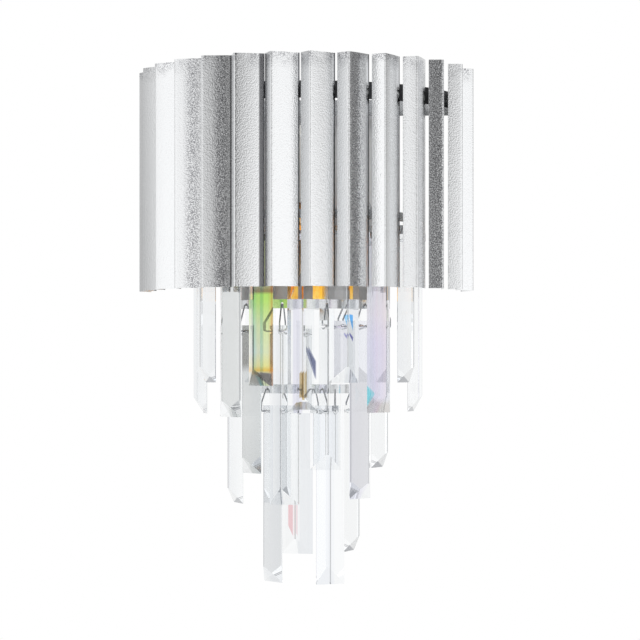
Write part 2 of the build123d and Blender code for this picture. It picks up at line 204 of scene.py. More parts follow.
def loft(rings):
    """Points and faces of a skin over rings with equal point counts, its ends capped."""
    count = len(rings[0])
    points = [p for ring in rings for p in ring]
    faces = []
    for row in range(len(rings) - 1):
        low, high = row * count, (row + 1) * count
        for i in range(count):
            j = (i + 1) % count
            faces.append((low + i, low + j, high + j, high + i))
    faces.append(tuple(reversed(range(count))))
    faces.append(tuple(range(len(points) - count, len(points))))
    return points, faces


def lathe(profile, segments):
    """A turned solid about the upright axis; the profile is (radius, height) pairs."""
    rings = []
    for radius, height in profile:
        turns = [2 * math.pi * i / segments for i in range(segments)]
        rings.append([(radius * math.cos(turn), radius * math.sin(turn), height) for turn in turns])
    return loft(rings)


# ---- node trees

def node(tree, kind, inputs=None, **settings):
    """Add a node, set it up and wire or set its inputs."""
    made = tree.nodes.new(kind)
    for key, value in settings.items():
        setattr(made, key, value)
    for key, value in (inputs or {}).items():
        if isinstance(value, bpy.types.NodeSocket):
            tree.links.new(value, made.inputs[key])
        else:
            made.inputs[key].default_value = value
    return made


def calc(tree, operation, first, second=0.0):
    """One step of arithmetic."""
    return node(tree, "ShaderNodeMath", {0: first, 1: second}, operation=operation).outputs[0]


def part_way(tree, value, start, end, low=0.0, high=1.0):
    """Low at the start value, high at the end value and in proportion between them."""
    return node(tree, "ShaderNodeMapRange", {0: value, 1: start, 2: end, 3: low, 4: high}).outputs[0]


def between(tree, value, low, high, soft):
    """A mask that is 1 between two values, with soft ends."""
    up = part_way(tree, value, low - soft, low + soft)
    down = part_way(tree, value, high - soft, high + soft, 1.0, 0.0)
    return calc(tree, "MULTIPLY", up, down)


def blend(tree, factor, first, second, **settings):
    """One colour laid over another."""
    inputs = {0: factor, 6: first, 7: second}
    return node(tree, "ShaderNodeMix", inputs, data_type="RGBA", **settings).outputs[2]


# ---- repeats

def round_repeat_tree():
    """A node tree that stands copies of a shape round an upright axis."""
    tree = bpy.data.node_groups.new("repeat_round", "GeometryNodeTree")
    face = tree.interface
    face.new_socket("Geometry", in_out="INPUT", socket_type="NodeSocketGeometry")
    face.new_socket("Count", in_out="INPUT", socket_type="NodeSocketInt")
    for name in ("First angle", "Pitch", "Radius", "Centre X", "Centre Y", "Odd turn"):
        face.new_socket(name, in_out="INPUT", socket_type="NodeSocketFloat")
    face.new_socket("Odd one", in_out="INPUT", socket_type="NodeSocketInt")
    face.new_socket("Material", in_out="INPUT", socket_type="NodeSocketMaterial")
    face.new_socket("Geometry", in_out="OUTPUT", socket_type="NodeSocketGeometry")
    given = node(tree, "NodeGroupInput").outputs
    spots = node(tree, "GeometryNodeMeshLine", {"Count": given["Count"]})
    index = node(tree, "GeometryNodeInputIndex").outputs[0]
    turned = calc(tree, "ADD", calc(tree, "MULTIPLY", index, given["Pitch"]), given["First angle"])
    across = calc(tree, "MULTIPLY", calc(tree, "SINE", turned), given["Radius"])
    forward = calc(tree, "MULTIPLY", calc(tree, "COSINE", turned), given["Radius"])
    x = calc(tree, "ADD", given["Centre X"], across)
    y = calc(tree, "SUBTRACT", given["Centre Y"], forward)
    place = node(tree, "ShaderNodeCombineXYZ", {"X": x, "Y": y}).outputs[0]
    stood = node(tree, "GeometryNodeSetPosition", {"Geometry": spots.outputs[0], "Position": place})
    odd = calc(tree, "MULTIPLY", calc(tree, "COMPARE", index, given["Odd one"]), given["Odd turn"])
    turn = node(tree, "ShaderNodeCombineXYZ", {"Z": calc(tree, "ADD", turned, odd)})
    copies = node(
        tree,
        "GeometryNodeInstanceOnPoints",
        {"Points": stood.outputs[0], "Instance": given["Geometry"], "Rotation": turn.outputs[0]},
    )
    real = node(tree, "GeometryNodeRealizeInstances", {"Geometry": copies.outputs[0]})
    inputs = {"Geometry": real.outputs[0], "Material": given["Material"]}
    painted = node(tree, "GeometryNodeSetMaterial", inputs)
    node(tree, "NodeGroupOutput", {"Geometry": painted.outputs[0]})
    return tree


def repeat_round(piece, material, count, first, pitch, radius, centre, odd_one=-1, odd_turn=0.0):
    """Repeat a piece round an upright axis and keep the result as a plain mesh."""
    tree = bpy.data.node_groups.get("repeat_round") or round_repeat_tree()
    modifier = piece.modifiers.new("repeat", "NODES")
    modifier.node_group = tree
    values = {
        "Count": count,
        "First angle": first,
        "Pitch": pitch,
        "Radius": radius,
        "Centre X": centre[0],
        "Centre Y": centre[1],
        "Odd one": odd_one,
        "Odd turn": odd_turn,
        "Material": material,
    }
    for socket in tree.interface.items_tree:
        if socket.in_out == "INPUT" and socket.name in values:
            modifier[socket.identifier] = values[socket.name]
    piece.data.update()
    bpy.context.view_layer.update()
    shown = piece.evaluated_get(bpy.context.evaluated_depsgraph_get())
    mesh = bpy.data.meshes.new_from_object(shown)
    piece.modifiers.remove(modifier)
    mesh.name = piece.name
    piece.data = mesh
    return piece


# ---- materials

def ramp(tree, factor, stops):
    """A colour ramp from (place, colour or grey) stops."""
    made = node(tree, "ShaderNodeValToRGB", {0: factor})
    band = made.color_ramp
    while len(band.elements) > 1:
        band.elements.remove(band.elements[0])
    for i, (place, shade) in enumerate(stops):
        shade = (shade,) * 3 if isinstance(shade, (int, float)) else shade
        stop = band.elements[0] if i == 0 else band.elements.new(place)
        stop.position = place
        stop.color = (*shade, 1.0)
    return made.outputs[0]


def new_group(name, inputs, outputs):
    """An empty shader node group; inputs and outputs are (name, kind, default) and (name, kind)."""
    tree = bpy.data.node_groups.new(name, "ShaderNodeTree")
    kinds = {"value": "NodeSocketFloat", "vector": "NodeSocketVector"}
    for title, kind, default in inputs:
        socket = tree.interface.new_socket(title, in_out="INPUT", socket_type=kinds[kind])
        socket.default_value = default
    for title, kind in outputs:
        tree.interface.new_socket(title, in_out="OUTPUT", socket_type=kinds[kind])
    return tree, node(tree, "NodeGroupInput").outputs


def metal_grain_group():
    """Fine uneven grain: a normal that breaks up reflections, and a mask of its pits."""
    inputs = [
        ("Vector", "vector", (0, 0, 0)),
        ("Size", "value", MM),
        ("Depth", "value", MM),
        ("Wave", "value", 0.0),
    ]
    tree, given = new_group("metal_grain", inputs, [("Normal", "vector"), ("Pits", "value")])
    scale = calc(tree, "DIVIDE", 1.0, given["Size"])
    grain = node(
        tree,
        "ShaderNodeTexNoise",
        {"Vector": given["Vector"], "Scale": scale, "Detail": 1.5, "Roughness": 0.6},
    )
    slow = node(tree, "ShaderNodeTexNoise", {"Vector": given["Vector"], "Scale": 28.0, "Detail": 1.0})
    inputs = {"Strength": 1.0, "Distance": given["Wave"], "Height": slow.outputs["Fac"]}
    waves = node(tree, "ShaderNodeBump", inputs).outputs[0]
    inputs = {"Strength": 1.0, "Distance": given["Depth"], "Height": grain.outputs["Fac"], "Normal": waves}
    bumps = node(tree, "ShaderNodeBump", inputs).outputs[0]
    pits = part_way(tree, grain.outputs["Fac"], 0.42, 0.3)
    node(tree, "NodeGroupOutput", {"Normal": bumps, "Pits": pits})
    return tree


def fine_scratches_group():
    """Long faint scratches along Z, as a value from 0 to 1."""
    inputs = [("Vector", "vector", (0, 0, 0)), ("Amount", "value", 0.5)]
    tree, given = new_group("fine_scratches", inputs, [("Scratches", "value")])
    stretched = node(tree, "ShaderNodeMapping", {"Vector": given["Vector"], "Scale": (1, 1, 0.03)})
    lines = node(tree, "ShaderNodeTexNoise", {"Vector": stretched.outputs[0], "Scale": 2600.0, "Detail": 2.0})
    scratches = calc(tree, "MULTIPLY", part_way(tree, lines.outputs["Fac"], 0.6, 0.75), given["Amount"])
    node(tree, "NodeGroupOutput", {"Scratches": scratches})
    return tree


def crystal_place_group():
    """Where a point lies on a crystal: across its width and its depth from -1 to 1, and its height."""
    inputs = [
        ("Vector", "vector", (0, 0, 0)),
        ("Centre", "vector", (0, 0, 0)),
        ("Turn", "value", 0.0),
        ("Half width", "value", 11 * MM),
        ("Half depth", "value", 4.25 * MM),
    ]
    outputs = [("Across", "value"), ("Deep", "value"), ("Height", "value")]
    tree, given = new_group("crystal_place", inputs, outputs)
    inputs = {0: given["Vector"], 1: given["Centre"]}
    offset = node(tree, "ShaderNodeVectorMath", inputs, operation="SUBTRACT").outputs[0]
    inputs = {"Vector": offset, "Angle": calc(tree, "MULTIPLY", given["Turn"], -1.0)}
    local = node(tree, "ShaderNodeVectorRotate", inputs, rotation_type="Z_AXIS").outputs[0]
    parts = node(tree, "ShaderNodeSeparateXYZ", {0: local}).outputs
    across = calc(tree, "DIVIDE", parts[0], given["Half width"])
    deep = calc(tree, "DIVIDE", parts[1], given["Half depth"])
    node(tree, "NodeGroupOutput", {"Across": across, "Deep": deep, "Height": parts[2]})
    return tree


def group(tree, name, inputs):
    """One of the shared effects in a material."""
    return node(tree, "ShaderNodeGroup", inputs, node_tree=bpy.data.node_groups[name]).outputs


def new_material(name):
    """An empty material with its tree, its Principled shader and its Object coordinates."""
    material = bpy.data.materials.new(name)
    material.use_nodes = True
    tree = material.node_tree
    tree.nodes.clear()
    shader = node(tree, "ShaderNodeBsdfPrincipled")
    node(tree, "ShaderNodeOutputMaterial", {"Surface": shader.outputs[0]})
    where = node(tree, "ShaderNodeTexCoord").outputs["Object"]
    return material, tree, shader, where


def grained_metal(name, tint, roughness, grain, depth, wave=0.0, scratches=0.2, dark=0.25):
    """Metal with a fine grain, faint scratches and slightly darker pits."""
    material, tree, shader, where = new_material(name)
    bumps = group(tree, "metal_grain", {"Vector": where, "Size": grain, "Depth": depth, "Wave": wave})
    lines = group(tree, "fine_scratches", {"Vector": where, "Amount": scratches})
    scratch_blur = 0.3
    deep = tuple(c * (1 - dark) for c in tint)
    shade = blend(tree, bumps["Pits"], (*tint, 1), (*deep, 1))
    tree.links.new(shade, shader.inputs["Base Color"])
    blur = part_way(tree, lines["Scratches"], 0.0, 1.0, roughness, roughness + scratch_blur)
    tree.links.new(blur, shader.inputs["Roughness"])
    tree.links.new(bumps["Normal"], shader.inputs["Normal"])
    shader.inputs["Metallic"].default_value = 1.0
    return material


def enamel(name, tint, roughness, uneven=0.06):
    """Paint, moulding or sheath: a plain colour with a faint unevenness."""
    material, tree, shader, where = new_material(name)
    inputs = {"Vector": where, "Size": 0.8 * MM, "Depth": 0.01 * MM, "Wave": 0.0}
    bumps = group(tree, "metal_grain", inputs)
    slow = node(tree, "ShaderNodeTexNoise", {"Vector": where, "Scale": 35.0, "Detail": 3.0})
    paler = tuple(min(1.0, c * (1 + uneven)) for c in tint)
    darker = tuple(c * (1 - uneven) for c in tint)
    shade = ramp(tree, slow.outputs["Fac"], [(0.35, darker), (0.65, paler)])
    tree.links.new(shade, shader.inputs["Base Color"])
    tree.links.new(bumps["Normal"], shader.inputs["Normal"])
    shader.inputs["Roughness"].default_value = roughness
    return material


def painted_light_patch(tree, place, patch, shade):
    """A four-sided patch of painted light in a crystal, such as a refraction colour, a reflection or a shaded
    facet, laid over the shade.

    A patch is its left and right edges, the heights of its lower edge and of its upper edge at
    those two places, and its colour.
    """
    left, right, lows, highs, tint = patch
    soft_across, soft_height = 0.02, 0.4 * MM
    mask = between(tree, place["Across"], left, right, soft_across)
    share = part_way(tree, place["Across"], left, right)
    for ends, side in ((lows, soft_height), (highs, -soft_height)):
        slope = calc(tree, "MULTIPLY", share, (ends[1] - ends[0]) * MM)
        edge = calc(tree, "ADD", slope, ends[0] * MM)
        over = calc(tree, "SUBTRACT", place["Height"], edge)
        mask = calc(tree, "MULTIPLY", mask, part_way(tree, over, -side, side))
    return blend(tree, mask, shade, (*tint, 1))


def painted_edge_lines(tree, place):
    """A mask of painted dark lines, standing for shade, along a crystal's ground edges: its two sides, and
    more faintly its front ridge.
    """
    rim_starts, rim_full = 0.945, 0.97
    ridge_starts, ridge_full = 0.05, 0.03
    ridge_front, ridge_strength = -0.8, 0.6
    side = calc(tree, "ABSOLUTE", place["Across"])
    rim = part_way(tree, side, rim_starts, rim_full)
    middle = part_way(tree, side, ridge_starts, ridge_full)
    front = calc(tree, "LESS_THAN", place["Deep"], ridge_front)
    ridge = calc(tree, "MULTIPLY", calc(tree, "MULTIPLY", middle, front), ridge_strength)
    return calc(tree, "MAXIMUM", rim, ridge)


def crystal_glass(name, settings, centre, turn, painted_light):
    """Cut glass with painted dark lines at its ground edges; the painted light lists bands across it, bands
    down it and patches of refraction colour, reflection and shade.
    """
    material, tree, shader, where = new_material(name)
    inputs = {
        "Vector": where,
        "Centre": centre,
        "Turn": turn,
        "Half width": settings.width / 2,
        "Half depth": settings.depth / 2,
    }
    place = group(tree, "crystal_place", inputs)
    shade = (*settings.clear, 1.0)
    # painted light: refraction colours, reflections and shade across the crystal, down it and in patches
    if "across" in painted_light:
        spread = part_way(tree, place["Across"], -1.0, 1.0)
        shade = ramp(tree, spread, [((a + 1) / 2, c) for a, c in painted_light["across"]])
    if "down" in painted_light:
        low, high = painted_light["down"][0][0] * MM, painted_light["down"][-1][0] * MM
        stops = [((z * MM - low) / (high - low), c) for z, c in painted_light["down"]]
        down = ramp(tree, part_way(tree, place["Height"], low, high), stops)
        shade = blend(tree, 1.0, shade, down, blend_type="MULTIPLY")
    for patch in painted_light.get("patches", ()):
        shade = painted_light_patch(tree, place, patch, shade)
    # painted shade: dark lines along the ground edges and the front ridge
    shade = blend(tree, painted_edge_lines(tree, place), shade, (*settings.edge, 1))
    tree.links.new(shade, shader.inputs["Base Color"])
    # light that is reflected more than three times inside comes out as a soft grey
    bounces, bounces_kept = node(tree, "ShaderNodeLightPath").outputs["Glossy Depth"], 3.5
    caught = calc(tree, "GREATER_THAN", bounces, bounces_kept)
    tree.links.new(blend(tree, caught, BLACK, (*settings.caught, 1)), shader.inputs["Emission Color"])
    shader.inputs["Emission Strength"].default_value = 1.0
    shader.inputs["Roughness"].default_value = 0.0
    shader.inputs["IOR"].default_value = settings.index
    shader.inputs["Transmission Weight"].default_value = 1.0
    return material


def paint_node(name, material):
    """Give a piece of the frame its material."""
    piece = frame["nodes"][name]
    if not piece.data.materials:
        piece.data.materials.append(material)
    for i in range(len(piece.material_slots)):
        piece.material_slots[i].material = material


# ---- operators

# The studio's walls as (direction, brightness) stops. Directions are in degrees about the upright
# axis: 0 is in front, 90 is to the right. The upper walls take over a little above level.
LEVEL_WALLS = [
    (-180, 1.0), (-140, 0.9), (-112, 0.48), (-89, 0.5), (-80, 0.66), (-70, 0.92), (-60, 1.1),
    (-50, 1.14), (-40, 1.08), (-30, 1.02), (-20, 0.92), (-12, 0.78), (-6, 0.78), (-3, 0.72),
    (-1, 0.5), (1, 0.26), (3, 0.1), (6, 0.06), (9, 0.3), (13, 0.82), (19, 0.92), (26, 1.04),
    (33, 1.12), (64, 1.12), (74, 1.02), (82, 0.84), (88, 0.25), (95, 0.2), (102, 0.4),
    (110, 0.62), (134, 0.72), (156, 0.9),
]
UPPER_WALLS = [
    (-180, 1.0), (-100, 0.6), (-60, 1.04), (-34, 0.9), (-24, 0.5), (-10, 0.35), (4, 0.1),
    (14, 0.25), (26, 0.45), (36, 0.9), (44, 1.04), (54, 0.85), (70, 0.55), (90, 0.2),
    (120, 0.35), (160, 0.9),
]


class SCONCE_OT_stage(bpy.types.Operator):
    """Set up the floor, the studio light and the camera"""

    bl_idname = "sconce.stage"
    bl_label = "Stage"

    def execute(self, context):
        sizes = context.scene.sconce_stage
        self.floor(sizes)
        self.studio(context.scene, sizes)
        self.camera(context.scene, sizes)
        context.scene.view_settings.view_transform = "Standard"
        return {"FINISHED"}

    def floor(self, sizes):
        """A round pale floor well below the light."""
        radii = (0.02, 0.5 * sizes.floor_radius, sizes.floor_radius)
        points, faces = lathe([(radius, sizes.floor_height) for radius in radii], 64)
        paint = enamel("floor_paint", sizes.floor_paint, 0.6, uneven=0.004)
        floor = new_piece("floor", points, faces[:-1], paint)
        for face in floor.data.polygons:
            if face.normal.z < 0:
                face.flip()

    def studio(self, scene, sizes):
        """Soft light from all round: bright and dark walls by direction, and one lamp above."""
        world = bpy.data.worlds.new("studio")
        scene.world = world
        world.use_nodes = True
        tree = world.node_tree
        tree.nodes.clear()
        direction = node(tree, "ShaderNodeTexCoord").outputs["Generated"]
        parts = node(tree, "ShaderNodeSeparateXYZ", {0: direction}).outputs
        turn = calc(tree, "ARCTAN2", parts[0], calc(tree, "MULTIPLY", parts[1], -1.0))
        share = part_way(tree, turn, -math.pi, math.pi)
        level, upper = (
            ramp(tree, share, [((degrees + 180) / 360, grey) for degrees, grey in stops])
            for stops in (LEVEL_WALLS, UPPER_WALLS)
        )
        rise_starts, rise_ends, upper_share = 0.095, 0.15, 0.8
        rise = part_way(tree, parts[2], rise_starts, rise_ends, 0.0, upper_share)
        walls = blend(tree, rise, level, upper)
        # the background is white, and what shows through the glass is mostly white too
        white_through_glass = 0.7
        path = node(tree, "ShaderNodeLightPath").outputs
        through = calc(tree, "MULTIPLY", path["Is Transmission Ray"], white_through_glass)
        seen = blend(tree, path["Is Camera Ray"], blend(tree, through, walls, WHITE), WHITE)
        light = node(tree, "ShaderNodeBackground", {"Color": seen, "Strength": 1.0})
        node(tree, "ShaderNodeOutputWorld", {"Surface": light.outputs[0]})

        above = bpy.data.lights.new("soft_light", "AREA")
        above.shape = "DISK"
        above.size = sizes.lamp_size
        above.energy = sizes.lamp_power
        lamp = bpy.data.objects.new("soft_light", above)
        lamp.location = sizes.lamp_place
        aim = Vector(sizes.lamp_aim) - Vector(sizes.lamp_place)
        lamp.rotation_euler = aim.to_track_quat("-Z", "Y").to_euler()
        scene.collection.objects.link(lamp)

    def camera(self, scene, sizes):
        """A level camera in front, a little to the right."""
        data = bpy.data.cameras.new("camera")
        data.lens = sizes.lens
        data.sensor_width = 36
        data.shift_x = sizes.shift_x
        data.shift_y = sizes.shift_y
        data.clip_start = 0.05
        data.clip_end = 20
        camera = bpy.data.objects.new("camera", data)
        turn = sizes.camera_azimuth
        x = sizes.camera_distance * math.sin(turn)
        y = AXIS_Y - sizes.camera_distance * math.cos(turn)
        camera.location = (x, y, sizes.camera_height)
        camera.rotation_euler = (math.pi / 2, 0, turn)
        scene.collection.objects.link(camera)
        scene.camera = camera


# Stretches of the half drum, in millimetres to the right of its middle: where painted shade darkens
# the slats, and where one slat has a painted strip of gap shade
PAINTED_SHADE_STRETCHES = ((-76, -67), (-56, -47.5), (31.8, 40), (81.5, 93.5))
PAINTED_GAP_SHADE_STRIP = (-26.8, -24)


def leg_side(along, across, start, end, level, bow, shares):
    """Points on one side of a leg at shares of the way from start to end, at a level across it."""
    points = []
    for share in shares:
        swell = bow * 4 * share * (1 - share)
        points.append(along * (start + (end - start) * share) + across * (level - swell))
    return points


class SCONCE_OT_slats(bpy.types.Operator):
    """Make the folded slats of the half drum"""

    bl_idname = "sconce.slats"
    bl_label = "Slats"

    def execute(self, context):
        sizes = context.scene.sconce_slats
        material = self.metal(sizes)
        points, faces = loft(self.rings(sizes))
        slats = new_piece("slats", points, faces)
        self.mark_edges(slats, sizes)
        repeat_round(
            slats,
            material,
            sizes.count,
            sizes.first_angle,
            sizes.pitch,
            sizes.fold_radius,
            (0, AXIS_Y),
            sizes.turned_slat,
            sizes.turned_by,
        )
        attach(slats, "root")
        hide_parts(*[f"slat_{i:02d}" for i in range(1, sizes.count + 1)])
        return {"FINISHED"}

    def metal(self, sizes):
        """Bright grained metal with painted gap shade along its sheared edge and in one strip, dark specks
        near its upper ends, and specked painted shade along a few stretches.
        """
        grain = (sizes.grain_size, sizes.grain_depth, sizes.wave_depth)
        material = grained_metal("slat_metal", sizes.tint, sizes.roughness, *grain, scratches=0.1, dark=0.04)
        tree = material.node_tree
        shader = tree.nodes["Principled BSDF"]
        bright = shader.inputs["Base Color"].links[0].from_socket
        where = tree.nodes["Texture Coordinate"].outputs["Object"]
        place = node(tree, "ShaderNodeSeparateXYZ", {0: where}).outputs
        # dark specks near the upper ends, and painted shade along a few stretches
        with_specks_and_painted_shade = blend(tree, self.specks_and_painted_shade(tree, where, place), bright, (*sizes.specks_and_painted_shade, 1))
        # painted shade of the gaps between slats: along each sheared edge and in one strip
        sheared = node(tree, "ShaderNodeAttribute", attribute_name="sheared").outputs["Fac"]
        soft_ends, painted_gap_shade_strength = 0.4 * MM, 0.85
        left, right = PAINTED_GAP_SHADE_STRIP
        strip = between(tree, place[0], left * MM, right * MM, soft_ends)
        painted_gap_shade = calc(tree, "MULTIPLY", calc(tree, "MAXIMUM", sheared, strip), painted_gap_shade_strength)
        edged = blend(tree, painted_gap_shade, with_specks_and_painted_shade, (*sizes.painted_gap_shade, 1))
        tree.links.new(edged, shader.inputs["Base Color"])
        return material

    def specks_and_painted_shade(self, tree, where, place):
        """A mask of dark specks: patchy near the upper ends, and along the stretches of painted shade."""
        soft_ends, top_strength, side_strength, speck_strength = 2.5 * MM, 0.6, 0.5, 1.4
        fine = node(tree, "ShaderNodeTexNoise", {"Vector": where, "Scale": 1500.0, "Detail": 0.0})
        coarse = node(tree, "ShaderNodeTexNoise", {"Vector": where, "Scale": 90.0, "Detail": 3.0})
        patchy = part_way(tree, coarse.outputs["Fac"], 0.4, 0.6)
        top = calc(tree, "MULTIPLY", part_way(tree, place[2], 80 * MM, 91 * MM), patchy)
        side = 0.0
        # painted shade: the slats' reflections are darker along these stretches
        for left, right in PAINTED_SHADE_STRETCHES:
            stretch = between(tree, place[0], left * MM, right * MM, soft_ends)
            side = calc(tree, "MAXIMUM", side, stretch)
        top = calc(tree, "MULTIPLY", top, top_strength)
        side = calc(tree, "MULTIPLY", side, side_strength)
        specks = part_way(tree, fine.outputs["Fac"], 0.42, 0.62, 0.0, speck_strength)
        return calc(tree, "MULTIPLY", calc(tree, "MAXIMUM", top, side), specks)

    def outline(self, sizes):
        """The strip's section with its fold at the origin: its outer side, then its inner side."""
        short = Vector((-math.cos(sizes.lean), math.sin(sizes.lean), 0))
        long = Vector((math.sin(sizes.lean), math.cos(sizes.lean), 0))
        thick, round_off, ease = sizes.thickness, sizes.fold_round, sizes.edge_ease
        short_end, long_end = sizes.short_leg - ease, sizes.long_leg - ease
        short_bow = 0.2 * sizes.bow
        short_steps = [i / 8 for i in range(9)]
        long_steps = [i / 14 for i in range(14)]
        # two close steps stand where the painted gap shade along the sheared edge begins
        edge_steps = [0.942, 0.955, 1.0]
        points = leg_side(short, long, short_end, round_off, 0.0, short_bow, short_steps)
        for turn in (20, 45, 70):
            away = long * math.cos(math.radians(turn)) + short * math.sin(math.radians(turn))
            points.append((short + long - away) * round_off)
        points += leg_side(long, short, round_off, long_end, 0.0, sizes.bow, long_steps + edge_steps)
        points.append(long * sizes.long_leg + short * ease)
        points.append(long * sizes.long_leg + short * (thick - ease))
        points += leg_side(long, short, thick, long_end, thick, sizes.bow, [1.0] + long_steps[::-1])
        points += leg_side(short, long, short_end, thick, thick, short_bow, short_steps[-2::-1])
        points.append(short * sizes.short_leg + long * (thick - ease))
        points.append(short * sizes.short_leg + long * ease)
        return points

    def mark_edges(self, slats, sizes):
        """Note how near each point of the strip is to the long leg's sheared edge, where the gap shade is
        painted.
        """
        along = Vector((math.sin(sizes.lean), math.cos(sizes.lean), 0))
        reaches = [v.co.dot(along) for v in slats.data.vertices]
        start = sizes.long_leg - sizes.edge_width
        values = [min(1.0, max(0.0, (reach - start) / (0.25 * sizes.edge_width))) for reach in reaches]
        slats.data.attributes.new("sheared", "FLOAT", "POINT").data.foreach_set("value", values)

    def rings(self, sizes):
        """The section at steps down the slat."""
        section = self.outline(sizes)
        bottom, rows = sizes.top - sizes.drop, 12
        heights = [bottom + sizes.drop * i / rows for i in range(rows + 1)]
        return [[p + Vector((0, 0, z)) for p in section] for z in heights]


class SCONCE_OT_frame_strips(bpy.types.Operator):
    """Finish the band, the bars, the struts and the half rings"""

    bl_idname = "sconce.frame_strips"
    bl_label = "Frame strips"

    def execute(self, context):
        tints = context.scene.sconce_metals
        strip = grained_metal("plated_strip", tints.plated, 0.16, 0.9 * MM, 0.012 * MM, 0.02 * MM)
        paint_node("slat_band", enamel("band_paint", tints.band, 0.4))
        names = ("slat_back_bar", "strut_left", "strut_right")
        rings = ("ring_upper", "ring_upper_bar", "ring_middle", "ring_lower")
        for name in names + rings:
            paint_node(name, strip)
        zinc = grained_metal("zinc_fastener", tints.zinc, 0.35, 0.5 * MM, 0.01 * MM)
        for name in ("slat_studs", "slat_nuts"):
            paint_node(name, zinc)
        return {"FINISHED"}


CLEAR = (0.97, 0.98, 0.985)
# tones painted into the clear glass for its light and shade: paler and darker parts and a lilac refraction
# tint
PALE = (0.84, 0.86, 0.88)
PAINTED_SHADE_GREY = (0.72, 0.745, 0.74)
LILAC = (0.82, 0.82, 0.9)
# Painted light in the clear crystals, by crystal: refraction colours, reflections and shade, painted
# into the glass's colour. Places across run from -1 at the left edge to 1 at the right edge, and
# heights are in millimetres from the crystal's loop. "across" and "down" hold the stops of a colour
# ramp. A patch is its left and right edges, the heights of its lower edge at those two, the heights
# of its upper edge there, and its colour.
PAINTED_CRYSTAL_LIGHT = {
    "upper_1": {"across": [(-1, PALE), (0, CLEAR), (1, CLEAR)]},
    "upper_2": {"across": [(-1, CLEAR), (0, CLEAR), (0.1, PALE), (1, PALE)]},
    "upper_3": {"across": [(-1, CLEAR), (-0.05, CLEAR), (0.05, PAINTED_SHADE_GREY), (1, (0.78, 0.8, 0.79))]},
    "upper_4": {
        "across": [
            (-1, CLEAR), (-0.12, CLEAR), (-0.04, (0.35, 0.72, 0.8)), (0.1, (0.5, 0.8, 0.75)),
            (0.22, (0.8, 0.9, 0.62)), (0.7, (0.84, 0.9, 0.62)), (0.82, (0.93, 0.66, 0.4)),
            (0.9, (0.8, 0.36, 0.22)), (0.94, CLEAR),
        ],
        "down": [
            (-96, (0.8, 0.8, 0.78)), (-88, (0.78, 0.74, 0.68)), (-86, (0.95, 0.6, 0.15)),
            (-83, (0.95, 0.85, 0.5)), (-74, (0.88, 0.88, 0.8)), (-56, (0.82, 0.88, 0.62)),
            (-40, (0.6, 0.86, 0.28)), (-36, (0.58, 0.85, 0.25)), (-34, (0.35, 0.27, 0.16)),
            (-31, (0.5, 0.45, 0.35)), (-20, (0.7, 0.7, 0.6)),
        ],
        "patches": [(-0.1, 0.86, (-88.5, -98), (-87, -88), (0.2, 0.19, 0.18))],
    },
    "upper_5": {
        "across": [(-1, CLEAR), (-0.6, CLEAR), (-0.55, LILAC), (-0.1, LILAC), (0, CLEAR), (1, CLEAR)],
        "patches": [
            (0.2, 0.74, (-75.5, -94), (-72, -82), (0.16, 0.18, 0.3)),
            (-0.07, 0.1, (-106, -106), (-90, -88), (0.42, 0.27, 0.08)),
        ],
    },
    "upper_6": {
        "across": [(-1, CLEAR), (0, CLEAR), (0.05, PALE), (1, PALE)],
        "patches": [
            (0.1, 0.42, (-53, -62), (-51, -51.5), (0.12, 0.45, 0.92)),
            (0.1, 0.42, (-64.5, -69), (-63, -66), (0.12, 0.12, 0.42)),
        ],
    },
    "upper_7": {
        "across": [
            (-1, (0.8, 0.82, 0.86)), (-0.6, (0.82, 0.84, 0.92)), (-0.3, (0.86, 0.8, 0.93)),
            (-0.1, (0.94, 0.84, 0.9)), (0.0, CLEAR), (1, CLEAR),
        ],
        "down": [
            (-110, (0.75, 0.72, 0.7)), (-106, (0.9, 0.9, 0.97)), (-70, (0.93, 0.9, 1.0)),
            (-50, (0.97, 0.93, 0.95)), (-30, (0.92, 0.92, 0.92)),
        ],
        "patches": [(-0.95, -0.6, (-112, -104), (-98, -103), (0.2, 0.68, 0.78))],
    },
    "upper_8": {"across": [(-1, PALE), (0, CLEAR), (1, CLEAR)]},
    "middle_1": {"across": [(-1, CLEAR), (0, CLEAR), (0.1, PALE), (1, CLEAR)]},
    "middle_2": {
        "across": [(-1, CLEAR), (-0.05, CLEAR), (0.05, PAINTED_SHADE_GREY), (1, (0.62, 0.66, 0.67))],
        "down": [
            (-96, (0.9, 0.9, 0.9)), (-60, (1, 1, 1)), (-28, (0.95, 0.95, 0.95)),
            (-22, (0.45, 0.44, 0.42)), (0, (0.5, 0.5, 0.48)),
        ],
    },
    "middle_3": {"across": [(-1, CLEAR), (-0.1, PALE), (0.05, CLEAR), (1, CLEAR)]},
    "middle_5": {"across": [(-1, LILAC), (0, (0.88, 0.88, 0.94)), (0.1, CLEAR), (1, CLEAR)]},
    "lower_1": {"across": [(-1, CLEAR), (0, PALE), (1, PALE)]},
    "lower_2": {
        "across": [(-1, CLEAR), (0, CLEAR), (0.05, PALE), (1, PALE)],
        "patches": [(-0.5, -0.12, (-77, -84), (-61, -62), (0.88, 0.62, 0.65))],
    },
    "lower_3": {"across": [(-1, (0.9, 0.92, 0.95)), (0.2, (0.9, 0.92, 0.95)), (0.3, CLEAR), (1, CLEAR)]},
}


class SCONCE_OT_crystals(bpy.types.Operator):
    """Finish the hanging crystals"""

    bl_idname = "sconce.crystals"
    bl_label = "Crystals"

    def execute(self, context):
        sizes = context.scene.sconce_crystals
        for joint in frame["joints"]:
            name = joint["child"]
            place = joint["pos_m"]
            turn = math.atan2(-joint["axis"][1], -joint["axis"][0])
            # each crystal's painted light: refraction colours, reflections and shade
            painted_light = PAINTED_CRYSTAL_LIGHT.get(name.removeprefix("crystal_"), {})
            paint_node(name, crystal_glass(name + "_glass", sizes, place, turn, painted_light))
        return {"FINISHED"}


